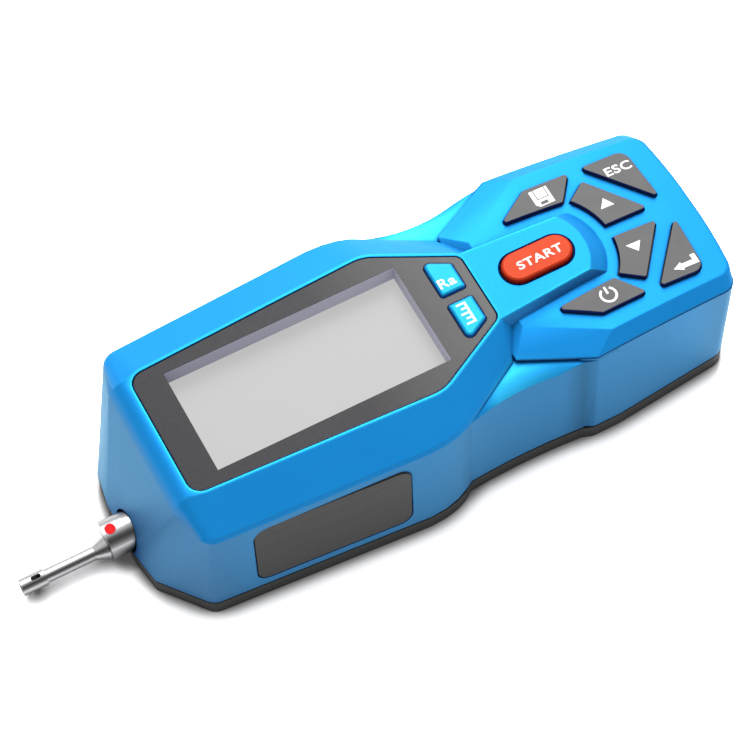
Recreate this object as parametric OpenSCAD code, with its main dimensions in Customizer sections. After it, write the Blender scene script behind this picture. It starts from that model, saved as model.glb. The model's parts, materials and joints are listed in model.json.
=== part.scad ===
// Handheld surface roughness tester.
// X runs from the pickup end (-X) to the keypad end (+X), Z is up, and the
// origin lies on the base face, midway along the case.
// Plan sizes named *_x are distances behind the nose of the case.

/* [Case] */
// Length of the case, without the pickup
case_l = 142; // [141:1:156]
// Width of the nose face at the base
nose_w = 13.8; // [8:0.2:20]
// Width of the nose face at its top
brow_w = 32; // [24:0.5:36]
// Backward lean of the nose face, in degrees
nose_lean = 15; // [8:1:18]
// Setback of the shoulder corners
shoulder_x = 1.3; // [0.5:0.1:3]
// Width across the shoulder corners
shoulder_w = 29.6; // [24:0.2:36]
// Setback of the cheek corners
cheek_x = 10.1; // [8:0.1:14]
// Width across the cheek corners
cheek_w = 51.6; // [49:0.2:56]
// Radius of the cheek corners
cheek_r = 4; // [2:0.5:6]
// Distance to the widest place
lobe_x = 61.3; // [50:0.5:64]
// Widest width, across the front lobe
lobe_w = 59.3; // [56:0.5:66]
// Inward draft of the lobe's walls at their top
side_draft = 1.1; // [0:0.1:2]
// Distance to the start of the waist
waist_x = 73; // [71:0.5:76]
// Length of the waist
waist_l = 28.3; // [24:0.5:30]
// Width across the ends of the waist
waist_w = 52.4; // [50:0.2:54]
// Inward bow of the waist at its foot
waist_bow = 0.6; // [0.2:0.1:1]
// Inward bow of the waist at its rounded ledge
ledge_bow = 2.2; // [1.6:0.1:2.4]
// Width of the rounded ledge
ledge_w = 4; // [2:0.2:5]
// Drop of the ledge's outer edge
ledge_drop = 1.4; // [0.8:0.1:1.8]
// Width across the front of the keypad end
tail_w = 54.2; // [53:0.2:58]
// Distance to the hips, where the keypad deck starts to spread
hip_x = 87.6; // [87:0.1:88]
// Width across the hips
hip_w = 34.8; // [34:0.2:36]
// Distance to the start of the deck's top
deck_x = 93; // [92.6:0.1:93.4]
// Width of the deck's top at its start
deck_front_w = 24; // [23:0.2:25]
// Distance to the place where the deck's top is widest
deck_wide_x = 109.6; // [109:0.1:110.4]
// Width of the deck's top
deck_w = 43.6; // [43.2:0.1:44]
// Width of the deck's top at its rear corners
deck_end_w = 40; // [39.4:0.1:40.6]
// Distance at which the deck starts to fall towards the rear
fall_x = 107; // [106:0.5:108]
// Fall of the deck's rear edge
deck_fall = 3.1; // [2.6:0.1:3.4]
// Width across the rear corners
tail_end_w = 48.6; // [46:0.2:52]
// Overhang of the deck's rear edge beyond the base
tail_over = 1; // [0.4:0.1:1.4]
// Radius of the rear corners
tail_corner_r = 4; // [2:0.5:6]
// Bulge of the rear face
tail_bulge = 2.2; // [1:0.1:3]
// Height of the display panel's rim and of the spine
rim_h = 37.3; // [36.6:0.1:39]
// Drop of the keypad deck below the rim
deck_drop = 2.3; // [1.9:0.1:2.6]
// Drop of the side walls' top below the deck
wall_drop = 2.1; // [1.8:0.1:2.4]
// Height of the dark base band
band_h = 4.7; // [4:0.1:5.5]
// Wall of the upper shell
shell_t = 2.2; // [1.6:0.1:2.6]
// Thickness of the keypad deck
deck_t = 2.2; // [1.6:0.1:2.4]
// Thickness of the base floor
floor_t = 2.4; // [2:0.1:3]
// Height of the groove between the case halves
seam_h = 0.35; // [0.2:0.05:0.6]
// Depth of the groove between the case halves
seam_d = 0.5; // [0.3:0.05:0.8]

/* [Display] */
// Distance to the front edge of the panel
panel_x = 12.7; // [12:0.1:14]
// Width of the panel's front edge
panel_front_w = 31.1; // [29:0.1:33]
// Distance to the panel's wide corners
panel_wide_x = 70; // [66:0.5:72]
// Width across the panel's wide corners
panel_w = 36.8; // [35:0.2:38]
// Length of the panel
panel_l = 76.1; // [74:0.2:78]
// Width of the panel's rear edge
panel_rear_w = 17; // [15:0.2:19]
// Thickness of the panel
panel_t = 1.6; // [1.2:0.1:2]
// Gap round the panel in its seat
panel_gap = 0.35; // [0.1:0.05:0.4]
// Distance to the display window
window_x = 19.6; // [19:0.1:21]
// Length of the display window
window_l = 55.4; // [50:0.2:56]
// Width of the display window
window_w = 26; // [22:0.2:27]
// Depth of the display below the panel's face
window_depth = 4.6; // [4.55:0.05:5.4]
// Wall of the window's well
window_wall = 0.8; // [0.6:0.1:1]

/* [Keys] */
// Rise of the key tops above the surface around them
key_rise = 1.0; // [0.6:0.1:1.6]
// Press of a key
key_travel = 0.5; // [0.3:0.1:0.7]
// Gap round a key in its opening
key_gap = 0.3; // [0.2:0.05:0.4]
// Reach of a key's flange under the deck
flange_out = 0.6; // [0.5:0.05:0.65]
// Thickness of a key's flange
flange_t = 1.2; // [0.8:0.1:1.4]
// Chamfer of the start key and the cap keys
key_edge = 0.6; // [0.3:0.1:0.7]
// Corner radius of the deck keys
key_r = 0.5; // [0.4:0.1:0.8]
// Distance to the tips of the side keys
side_key_x = 101.3; // [101:0.1:101.8]
// Length of the side keys
side_key_l = 19.6; // [19.2:0.1:20]
// Length of the side keys' inner edge
side_key_inner_l = 14.9; // [14.6:0.1:15.2]
// Slant of the side keys' outer edge behind their tips
side_key_slant = 8.4; // [7.6:0.1:9]
// Distance of the side keys' tips from the middle
side_key_y = 12.25; // [12.1:0.05:12.6]
// Approach of the side keys' inner edge towards the middle
side_key_turn = 1.15; // [0.8:0.05:1.3]
// Width of the side keys
side_key_w = 5.35; // [4.8:0.05:5.6]
// Distance to the arrow keys
arrow_key_x = 117; // [116.6:0.1:117.4]
// Length of the arrow keys
arrow_key_l = 15.3; // [15:0.1:15.5]
// Distance of the arrow keys' outer corners from the middle
arrow_key_out_y = 13.9; // [13.4:0.1:14.2]
// Distance of the arrow keys' inner edges from the middle
arrow_key_in_y = 1.95; // [1.8:0.05:2.2]
// Distance to the corner keys
corner_key_x = 124.3; // [124:0.1:124.6]
// Length of the corner keys' outer edge
corner_key_l = 11.2; // [10.8:0.1:11.4]
// Distance of the corner keys' outer edges from the middle
corner_key_y = 17.3; // [17:0.1:17.6]
// Width of the corner keys
corner_key_w = 14.2; // [13.6:0.1:14.4]
// Corner radius of the corner keys at the rear
corner_key_r = 2.6; // [2:0.1:3]
// Distance to the start key
start_x = 94.8; // [94:0.1:96]
// Length of the start key
start_l = 16.8; // [14:0.2:18]
// Width of the start key
start_w = 7.6; // [6:0.2:8.4]
// Distance to the pair of cap keys in the panel
cap_x = 80.5; // [80:0.1:81.5]
// Length of the cap keys
cap_l = 5.9; // [5:0.1:6.2]
// Gap between the cap keys
cap_gap = 2.4; // [2.4:0.1:3]
// Width across the pair of cap keys at the front
cap_front_w = 22; // [18:0.2:23]
// Width across the pair of cap keys at the rear
cap_rear_w = 15.6; // [14:0.2:16.4]

/* [Spine] */
// Distance to the spine's start
spine_x = 86.8; // [86:0.1:88]
// Width of the spine's top at its start
spine_front_w = 18.8; // [17:0.2:20]
// Width of the spine's top at its rear
spine_rear_w = 15.2; // [13:0.2:16]
// Length of the spine's top
spine_l = 28; // [27.4:0.1:28.6]
// Spread of the spine's rounded end from top to foot
spine_flank = 3.0; // [1:0.1:3.2]
// Radius of the spine's rounded end
spine_end_r = 12; // [10:0.5:16]

/* [Pickup] */
// Sideways place of the pickup and its drive
pickup_y = -1.9; // [-3:0.1:0]
// Height of the barrel's axis
barrel_z = 6.9; // [6.6:0.1:7.4]
// Diameter of the barrel
barrel_d = 9; // [8:0.1:9.2]
// Length of the barrel
barrel_l = 14; // [12:0.5:15]
// How far the barrel stands out of the nose
barrel_out = 4.5; // [3:0.1:6]
// Gap between the barrel and its opening
barrel_gap = 0.5; // [0.3:0.1:0.7]
// Drop of the stem's axis below the barrel's
stem_drop = 3.2; // [2:0.1:3.2]
// Length of the stem with its head
stem_l = 20.5; // [19:0.5:24]
// Diameter of the stem's neck
neck_d = 3.2; // [3:0.1:3.4]
// Diameter of the stem's flare at the barrel
flare_d = 5.6; // [4.4:0.1:7]
// Length of the stem's flare
flare_l = 3; // [2:0.1:4]
// Diameter of the pickup's head
head_d = 3.9; // [3.6:0.1:4.4]
// Length of the pickup's head
head_l = 5.8; // [5:0.1:7]
// Bore of the stem
stem_bore = 2.0; // [1.8:0.1:2.2]
// Bore of the head
head_bore = 2.9; // [2.6:0.1:3]
// Diameter of the orientation dot
dot_d = 2.5; // [2:0.1:3]

/* [Drive] */
// Travel of the pickup during a trace
traverse = 17.5; // [10:0.5:17.5]
// Diameter of the guide rods
rod_d = 3; // [2.4:0.1:3.4]
// Distance between the guide rods
rod_pitch = 17; // [16:0.2:18]
// Height of the guide rods
rod_z = 10; // [9.4:0.1:10.6]
// Diameter of the lead screw
screw_d = 3; // [2.4:0.1:3.4]
// Height of the lead screw
screw_z = 14.2; // [14:0.1:14.6]
// Length of the carriage
carriage_l = 14; // [12:0.5:15]
// Width of the carriage
carriage_w = 23; // [22.5:0.1:24]
// Thickness of the drive frame's plates
frame_t = 2.2; // [1.8:0.1:2.4]
// Diameter of the motor
motor_d = 10; // [9:0.2:10.4]
// Length of the motor
motor_l = 24; // [18:0.5:25]
// Radial clearance of a turning or sliding fit
fit_gap = 0.05; // [0.03:0.01:0.08]
// Radial clearance of a seated fit
seat_gap = 0.02; // [0.01:0.01:0.04]

/* [Inside] */
// Thickness of the circuit boards
board_t = 1.6; // [1.2:0.1:1.8]
// Height of the main board
board_z = 20.1; // [19.8:0.1:20.6]
// Distance to the main board
main_board_x = 32; // [30:0.5:34]
// Width of the main board
main_board_w = 42.4; // [41:0.2:42.6]
// Length of the battery
battery_l = 40; // [30:1:40]
// Width of the battery
battery_w = 28; // [22:1:29]
// Height of the battery
battery_h = 12.6; // [10:0.2:14]
// Shank diameter of the case screws
case_screw_d = 2.5; // [2:0.1:3]
// Head diameter of the case screws
case_head_d = 4.6; // [4:0.1:5]
// Bore of the threaded stand insert
insert_bore = 4.2; // [3.3:0.1:4.4]
// Outer diameter of the stand insert
insert_d = 7; // [6.4:0.1:8]
// Length of the stand insert
insert_l = 6; // [5:0.2:6.4]
// Length of the nameplate
plate_l = 36; // [30:0.5:38]
// Height of the nameplate
plate_h = 22.4; // [18:0.2:23]
// Thickness of the nameplate
plate_t = 0.5; // [0.3:0.1:0.8]

/* [Hidden] */
$fn = 48;
eps = 0.01;

nose_x = -case_l / 2;
tail_x = case_l / 2;
waist_end = waist_x + waist_l;
deck_h = rim_h - deck_drop;
wall_h = deck_h - wall_drop;

// A plan point, from its distance behind the nose
function at(d, y) = [nose_x + d, y];

// Both halves of an outline that is given for +Y, front to rear
function mirrored(half) =
    concat(half, [for (i = [len(half) - 1:-1:0]) [half[i].x, -half[i].y]]);

function unit(v) = v / norm(v);

// Arc that rounds corner b between its neighbours a and c
function corner(a, b, c, r, n = 5) =
    r == 0 ? [b] :
    let (
        u = unit(a - b),
        v = unit(c - b),
        half = acos(u * v) / 2,
        centre = b + unit(u + v) * r / sin(half),
        s = b + u * r / tan(half) - centre,
        e = b + v * r / tan(half) - centre,
        turn = 180 - 2 * half
    )
    [for (i = [0:n])
        centre + (s * sin(turn * (1 - i / n)) + e * sin(turn * i / n)) / sin(turn)];

function rounded(pts, radii) =
    let (n = len(pts))
    [for (i = [0:n - 1])
        each corner(pts[(i + n - 1) % n], pts[i], pts[(i + 1) % n], radii[i])];

function bezier(a, b, c, n = 4) =
    [for (i = [0:n])
        let (t = i / n)
        a * (1 - t) * (1 - t) + b * 2 * t * (1 - t) + c * t * t];

module level(z) {
    translate([0, 0, z])
        linear_extrude(eps)
            children();
}

module slab(z0, z1) {
    translate([0, 0, z0])
        linear_extrude(z1 - z0)
            children();
}

// A round bar along X
module bar_x(x0, x1, d, y, z) {
    translate([x0, y, z])
        rotate([0, 90, 0])
            cylinder(d = d, h = x1 - x0);
}

module box(x0, x1, y0, y1, z0, z1) {
    translate([x0, y0, z0])
        cube([x1 - x0, y1 - y0, z1 - z0]);
}

// Solid through outlines of equal length, each a list of [y, z] that stands across X
module loft_x(xs, outlines) {
    n = len(outlines[0]);
    last = len(xs) - 1;
    polyhedron(
        points = [for (i = [0:last]) for (p = outlines[i]) [xs[i], p.x, p.y]],
        faces = concat(
            [[for (j = [0:n - 1]) j]],
            [for (i = [0:last - 1]) for (j = [0:n - 1])
                let (a = i * n + j, b = i * n + (j + 1) % n)
                each [[a, b + n, b], [a, a + n, b + n]]],
            [[for (j = [n - 1:-1:0]) last * n + j]]));
}

module both_sides() {
    children();
    mirror([0, 1, 0])
        children();
}

// Plan outlines of the case

hip = at(hip_x, hip_w / 2);
throat = at(deck_x, deck_front_w / 2 - 1.1);
lobe_turn = 8.2;
tail_step = 2.6;
tail_flat = 6.6;

function front_x(z) = nose_x + (z - band_h) * tan(nose_lean);
function crease_y(z) = (nose_w + (brow_w - nose_w) * (z - band_h) / (wall_h - band_h)) / 2;
function rear_x(y) = tail_x - tail_bulge * pow(2 * y / tail_end_w, 2);

// Points along the bulged rear face, from its side to near the middle
function rear_arc(inset = 0) =
    [for (i = [3:-1:1])
        let (y = tail_end_w * i / 12)
        [rear_x(y) - inset, y]];

// Rounded rear of the lobe; tuck runs it on into the waist's wall
function lobe_side(draft, tuck = 0) =
    bezier(at(lobe_x, lobe_w / 2 - draft),
           at(lobe_x + lobe_turn, lobe_w / 2 - draft),
           at(waist_x + tuck, waist_w / 2 - tuck));

function nose_half() = concat(
    [at(0, nose_w / 2), at(shoulder_x, shoulder_w / 2)],
    corner(at(shoulder_x, shoulder_w / 2), at(cheek_x, cheek_w / 2),
           at(lobe_x, lobe_w / 2), cheek_r));

// Bowed side of the waist between its ends
function waist_side() =
    [for (t = [0.2:0.2:0.8])
        at(waist_x + t * waist_l, waist_w / 2 - 4 * waist_bow * t * (1 - t))];

// Half width of the lobe's outer wall, and of the keypad end's
function lobe_y(d) =
    cheek_w / 2 + (d - cheek_x) * (lobe_w - cheek_w) / 2 / (lobe_x - cheek_x);

tail_corner = [rear_x(tail_end_w / 2), tail_end_w / 2];
tail_front = at(waist_end + tail_step + tail_flat, tail_w / 2);

function tail_y(d) =
    tail_w / 2 - (nose_x + d - tail_front.x) * (tail_w / 2 - tail_corner.y) / (tail_corner.x - tail_front.x);

function tail_half(tuck = 0) = concat(
    [at(waist_end - tuck, waist_w / 2 - tuck), at(waist_end + tail_step, tail_w / 2), tail_front],
    corner(tail_front, tail_corner, rear_arc()[0], tail_corner_r),
    rear_arc());

module case_outline() {
    polygon(mirrored(concat(nose_half(), lobe_side(0), waist_side(), tail_half())));
}

wall_tuck = 0.8;

function lobe_base() = concat(nose_half(), lobe_side(0, wall_tuck), [hip, throat]);

function lobe_wall(z) = concat(
    [[front_x(z), crease_y(z)]],
    corner([front_x(z), crease_y(z)], at(cheek_x + 0.4, cheek_w / 2),
           at(lobe_x, lobe_w / 2 - side_draft), cheek_r),
    lobe_side(side_draft, wall_tuck), [hip, throat]);

panel_half = [
    at(panel_x, panel_front_w / 2),
    at(panel_wide_x, panel_w / 2),
    at(panel_x + panel_l, panel_rear_w / 2)
];
panel_radii = [3, 9, 2];

module panel_outline() {
    polygon(rounded(mirrored(panel_half),
                    concat(panel_radii, [for (i = [2:-1:0]) panel_radii[i]])));
}

// Fall of the deck below its front, at a distance behind the nose
fall_bend = 0.55;

function fall(d) =
    let (t = max(0, (d - fall_x) / (case_l - fall_x)))
    deck_fall * t * (1 - fall_bend + fall_bend * t);

fall_steps = [for (i = [0:6]) fall_x + i * (case_l - fall_x) / 6];

// Points between a and b where the fall changes
function fall_points(a, b) =
    [for (d = fall_steps)
        let (x = nose_x + d)
        if (x > a.x + 1 && x < b.x - tail_corner_r - 1)
            [x, a.y + (b.y - a.y) * (x - a.x) / (b.x - a.x)]];

// A half outline drawn in at its side and ends
function drawn_in(half, by) =
    let (mid = (half[0].x + half[len(half) - 1].x) / 2)
    [for (p = half) [p.x + (p.x > mid ? -by : by), p.y - by]];

// Thin bars across a half outline's points, which fall as the deck does
module falling(half, z) {
    for (p = half)
        translate([p.x, -p.y, z - fall(p.x - nose_x)])
            cube([eps, 2 * p.y, eps]);
}

// All that lies below the deck's top, or below a surface that is lift higher
module below_deck(lift) {
    end = case_l + 4;
    top = deck_h + lift;
    rotate([90, 0, 0])
        linear_extrude(tail_w + 2, center = true)
            polygon(concat(
                [at(0, 0), at(0, top)],
                [for (d = fall_steps) at(d, top - fall(d))],
                [at(end, top - fall(end)), at(end, 0)]));
}

deck_rear_in = 0.8;
deck_side = at(deck_wide_x, deck_w / 2);
deck_corner = [rear_x(deck_end_w / 2) + tail_over - deck_rear_in, deck_end_w / 2];

deck_half = concat(
    [at(deck_x, deck_front_w / 2), deck_side],
    fall_points(deck_side, deck_corner),
    corner(deck_side, deck_corner, rear_arc(deck_rear_in - tail_over)[0], tail_corner_r - 0.5),
    rear_arc(deck_rear_in - tail_over));

// Outline of the keypad end's walls at their top, and of the deck's foot on them
tail_draft = 1.5;
tail_end_draft = 1.1;
tail_top_front = at(waist_end + tail_step, tail_w / 2 - tail_draft);
tail_top_corner = tail_corner + [tail_over, -tail_end_draft];

function tail_top_side(front) = concat(
    fall_points(front, tail_top_corner),
    corner(front, tail_top_corner, rear_arc(-tail_over)[0], tail_corner_r),
    rear_arc(-tail_over));

tail_top_half = concat(
    [at(waist_end - wall_tuck, waist_w / 2 - wall_tuck - tail_draft), tail_top_front],
    tail_top_side(tail_top_front));

deck_foot_half = concat(
    [hip + [0.5, 0.4], tail_top_front],
    tail_top_side(tail_top_front));

// Outline of the spine, from its start to the chord of its rounded end
function spine_half(spread) =
    let (
        end_x = spine_x + spine_l + spread * 1.5,
        w = spine_rear_w / 2 + spread * 0.35,
        r = spine_end_r + spread
    )
    concat([at(spine_x, spine_front_w / 2 + spread * 0.6)],
           [for (i = [0:4])
               let (y = w * (1 - i / 5))
               at(end_x - r + sqrt(r * r - y * y), y)]);

// Outlines of the keys, for the far side of the deck

spine_end_x = spine_x + spine_l + spine_flank * 1.5;
arrow_ring_r = spine_end_r + spine_flank + 1.4;
arrow_ring_x = spine_end_x + 2.4 - arrow_ring_r;

module key_shape(pts) {
    offset(r = key_r, $fn = 24)
        offset(delta = -key_r)
            polygon(pts);
}

module side_key_shape() {
    key_shape([
        at(side_key_x, side_key_y),
        at(side_key_x + side_key_inner_l, side_key_y - side_key_turn),
        at(side_key_x + side_key_l, side_key_y + side_key_w - 0.4),
        at(side_key_x + side_key_slant, side_key_y + side_key_w)
    ]);
}

module arrow_key_shape() {
    difference() {
        key_shape([
            at(arrow_key_x, arrow_key_out_y - 4),
            at(arrow_key_x + 5.7, arrow_key_out_y),
            at(arrow_key_x + arrow_key_l, arrow_key_in_y),
            at(arrow_key_x + 2, arrow_key_in_y - 0.2)
        ]);
        translate(at(arrow_ring_x, 0))
            circle(r = arrow_ring_r, $fn = 96);
    }
}

module corner_key_shape() {
    polygon(rounded([
        at(corner_key_x, corner_key_y),
        at(corner_key_x + corner_key_l, corner_key_y + 0.1),
        at(corner_key_x + corner_key_l + 0.9, corner_key_y - corner_key_w)
    ], [key_r, corner_key_r, key_r]));
}

module cap_key_shape() {
    polygon(rounded([
        at(cap_x, cap_gap / 2),
        at(cap_x, cap_front_w / 2),
        at(cap_x + cap_l, cap_rear_w / 2),
        at(cap_x + cap_l, cap_gap / 2)
    ], [0.6, 1.2, 0.8, 0.6]));
}

module start_key_shape() {
    r = start_w / 2;
    ends = [start_x + start_l - r, start_x + r];
    polygon([for (i = [0, 1], a = [-90:10:90])
        at(ends[i], 0) + r * [cos(a + 180 * i), sin(a + 180 * i)]]);
}

module deck_key_shapes() {
    both_sides() {
        side_key_shape();
        arrow_key_shape();
        corner_key_shape();
    }
}

// Heights of what lies under the deck

ceiling_z = deck_h - deck_t;
key_rest_gap = 0.1;
flange_top = ceiling_z - key_rest_gap;
flange_bottom = flange_top - flange_t - fall(corner_key_x + corner_key_l + 1.6);
switch_h = 2.0;
key_board_z = flange_bottom - key_travel - key_rest_gap - switch_h - board_t;
roof_t = 2.1;
cavity_z = wall_h - roof_t;
lcd_top = rim_h - window_depth;

// A key with a chamfered top, on the panel or the spine, and the flange that keeps it in
module key(top, edge) {
    slab(flange_bottom, top - edge)
        children();
    hull() {
        level(top - edge - eps)
            children();
        level(top - edge * 0.4)
            offset(delta = -edge * 0.35)
                children();
        level(top - eps)
            offset(delta = -edge)
                children();
    }
    slab(flange_bottom, flange_top - fall(start_x + start_l + 1))
        offset(delta = flange_out)
            children();
}

// A key of the deck, with a top and a flange that fall as the deck does
module deck_key() {
    intersection() {
        slab(flange_bottom, rim_h + 1)
            children();
        below_deck(key_rise);
    }
    intersection() {
        slab(flange_bottom, ceiling_z)
            offset(delta = flange_out)
                children();
        below_deck(-deck_t - key_rest_gap);
    }
}

module key_opening() {
    slab(ceiling_z - deck_fall - 1, rim_h + 1)
        offset(delta = key_gap)
            children();
}

// Screw places, as [x behind the nose, y]
case_boss_h = 14;
case_screw_l = 11;
case_boss_d = 6.4;
post_d = 4.4;
boss_sink = 0.6;
front_boss_x = 20;
rear_boss_x = 130.5;
front_boss_y = lobe_y(front_boss_x) - shell_t - case_boss_d / 2 + boss_sink;
rear_boss_y = tail_y(rear_boss_x) - shell_t - case_boss_d / 2 + boss_sink;
post_x = [37, 102.5, 119];
post_y = [17.5, 18.8, 18.8];
key_boss_x = [97, 122.6];
key_boss_y = [18, 20];

function both(xs, ys) =
    [for (i = [0:len(xs) - 1]) each [[xs[i], ys[i]], [xs[i], -ys[i]]]];

case_screw_spots = both([front_boss_x, rear_boss_x], [front_boss_y, rear_boss_y]);
board_post_spots = both(post_x, post_y);
key_boss_spots = both(key_boss_x, key_boss_y);
head_h = 1.8;
head_sink = 0.3;

// Places along the drive

barrel_front = nose_x - barrel_out;
barrel_rear = barrel_front + barrel_l;
stem_z = barrel_z - stem_drop;
stem_tip = barrel_front - stem_l;
plate_gap = 0.8;
front_plate = barrel_rear - plate_gap - frame_t;
carriage_rear = barrel_rear + carriage_l;
rear_plate = carriage_rear + traverse + plate_gap;
coupling_l = 6;
coupling_x = rear_plate + frame_t + plate_gap;
bracket_x = coupling_x + coupling_l + plate_gap;
motor_x = bracket_x + frame_t;
motor_end = motor_x + motor_l;
screw_tail_l = 3;
shaft_d = 1.5;
barrel_hole_d = barrel_d + 2 * barrel_gap;
frame_w = carriage_w + 2;
frame_base_t = 1.2;
frame_top = screw_z + 3.4;
carriage_bottom = floor_t + frame_base_t + 0.4;
carriage_top = screw_z + 3;
plug_d = 6;
plug_l = 4.5;
pin_l = 2.5;

// Charging socket on the rear edge of the main board
socket_w = 9;
socket_h = 3.2;
socket_l = 8;
socket_gap = 0.3;
socket_z = board_z + board_t;
board_end = tail_x - shell_t - 3;
socket_x = board_end - 4.4;

insert_x = 85;
battery_x = 92.5;

// Place and lean of the flat side wall that carries the nameplate
wall_turn = atan2(lobe_w / 2 - cheek_w / 2, lobe_x - cheek_x);
wall_lean = atan2(side_draft / 2, wall_h - band_h);
plate_mid_x = 38.7;
plate_mid_z = (band_h + wall_h) / 2 - 0.2;
plate_mid_y = cheek_w / 2 + (plate_mid_x - cheek_x) * tan(wall_turn);

module on_near_wall() {
    translate([nose_x + plate_mid_x, -plate_mid_y, band_h])
        rotate([0, 0, -wall_turn])
            rotate([90 - wall_lean, 0, 0])
                translate([0, plate_mid_z - band_h, 0])
                    children();
}

module plate_shape() {
    polygon(rounded([
        [-plate_l / 2, -plate_h / 2],
        [plate_l / 2, -plate_h / 2],
        [plate_l / 2, plate_h / 2],
        [-plate_l / 2, plate_h / 2]
    ], [3, 3, 3, 3]));
}

// Outside of the front lobe: leaning nose, side walls, bevels and rim
module lobe_solid() {
    edge = 0.6;
    lift = 0.3;
    brow = bezier([front_x(wall_h - 2), wall_h - 2],
                  [front_x(rim_h - 1), rim_h],
                  [nose_x + panel_x - 0.9, rim_h], 8);
    hull() {
        level(band_h)
            polygon(mirrored(lobe_base()));
        level(wall_h - edge)
            polygon(mirrored(lobe_wall(wall_h - edge)));
        level(wall_h + lift)
            offset(delta = -edge)
                polygon(mirrored(lobe_wall(wall_h - edge)));
        for (i = [1:7])
            translate([brow[i].x, -brow_w / 2 + 0.4, brow[i].y])
                cube([eps, brow_w - 0.8, eps]);
        level(rim_h - lift)
            offset(delta = 1.4)
                panel_outline();
        level(rim_h - eps)
            offset(delta = 0.9)
                panel_outline();
    }
}

module lobe_hollow() {
    hull() {
        level(band_h - 1)
            offset(delta = -shell_t)
                polygon(mirrored(lobe_base()));
        level(cavity_z)
            offset(delta = -shell_t)
                polygon(mirrored(lobe_wall(cavity_z)));
    }
}

// Outside and hollow of the keypad end
module tail_solid() {
    hull() {
        level(band_h)
            polygon(mirrored(tail_half(wall_tuck)));
        falling(tail_top_half, wall_h - 0.2);
    }
}

module tail_hollow() {
    hull() {
        level(band_h - 1)
            offset(delta = -shell_t)
                polygon(mirrored(tail_half(wall_tuck)));
        falling(drawn_in(tail_top_half, shell_t), cavity_z - 0.4);
    }
}

// Plan of the room for the display and for the key flanges
module under_deck_shape() {
    translate(at(window_x - 4, -window_w / 2 - 4))
        square([cap_x - window_x + 2, window_w + 8]);
    translate(at(cap_x - 3, -cap_front_w / 2 - 2))
        square([start_x + 11 - cap_x, cap_front_w + 4]);
    offset(delta = -1.4)
        polygon(mirrored(deck_half));
}

// Cross-section of the waist at a share t of its length
ledge_gap = 0.9;

function waist_section(t) =
    let (
        bow = 4 * t * (1 - t),
        foot = waist_w / 2 - waist_bow * bow,
        edge = waist_w / 2 - 0.2 - ledge_bow * bow,
        top = wall_h - ledge_gap,
        edge_z = top - 0.3 - ledge_drop * bow,
        w = 0.5 + ledge_w * bow,
        half = concat(
            [[foot, band_h]],
            [for (a = [0:15:90]) [edge - w * (1 - cos(a)), edge_z + (top - edge_z) * sin(a)]])
    )
    mirrored_y(half);

// Both halves of a cross-section that is given for +Y, from foot to top
function mirrored_y(half) =
    concat(half, [for (i = [len(half) - 1:-1:0]) [-half[i].x, half[i].y]]);

// Bowed walls of the waist, with a rounded ledge on top
module waist_solid() {
    shares = [for (i = [0:10]) i / 10];
    loft_x(
        concat([nose_x + waist_x - 12],
               [for (t = shares) nose_x + waist_x + t * waist_l],
               [nose_x + waist_end + 8]),
        concat([waist_section(0)], [for (t = shares) waist_section(t)], [waist_section(1)]));
}

// Room inside the waist, which follows the lean of its walls
module waist_hollow() {
    foot = waist_w / 2 - waist_bow - shell_t;
    top = waist_w / 2 - ledge_bow - shell_t + 0.2;
    x0 = nose_x + waist_x - 10;
    x1 = nose_x + waist_end + 8;
    hull() {
        box(x0, x1, -foot, foot, band_h - 1, band_h + 1);
        box(x0, x1, -top, top, cavity_z - 2, cavity_z - 1);
    }
}

// Raised deck of the keypad, on a neck that leaves a gap above the waist's ledge
module deck_solid() {
    neck_inset = 1.1;
    neck_end = at(fall_x + 5, tail_w / 2 - tail_draft - 0.5);
    slab(wall_h - 2, wall_h)
        offset(delta = -neck_inset)
            polygon(mirrored([deck_foot_half[0], tail_top_front, neck_end]));
    foot = drawn_in(deck_foot_half, 0.2);
    hull() {
        falling(foot, wall_h - 0.5);
        falling(foot, wall_h + 0.1);
        falling(drawn_in(deck_half, -0.5), deck_h - 0.3);
        falling(deck_half, deck_h - eps);
    }
}

module spine_solid() {
    hull() {
        level(deck_h - 1.4)
            polygon(mirrored(spine_half(spine_flank + 0.4)));
        level(rim_h - 0.3)
            polygon(mirrored(spine_half(0.5)));
        level(rim_h - eps)
            polygon(mirrored(spine_half(0)));
    }
}

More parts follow.
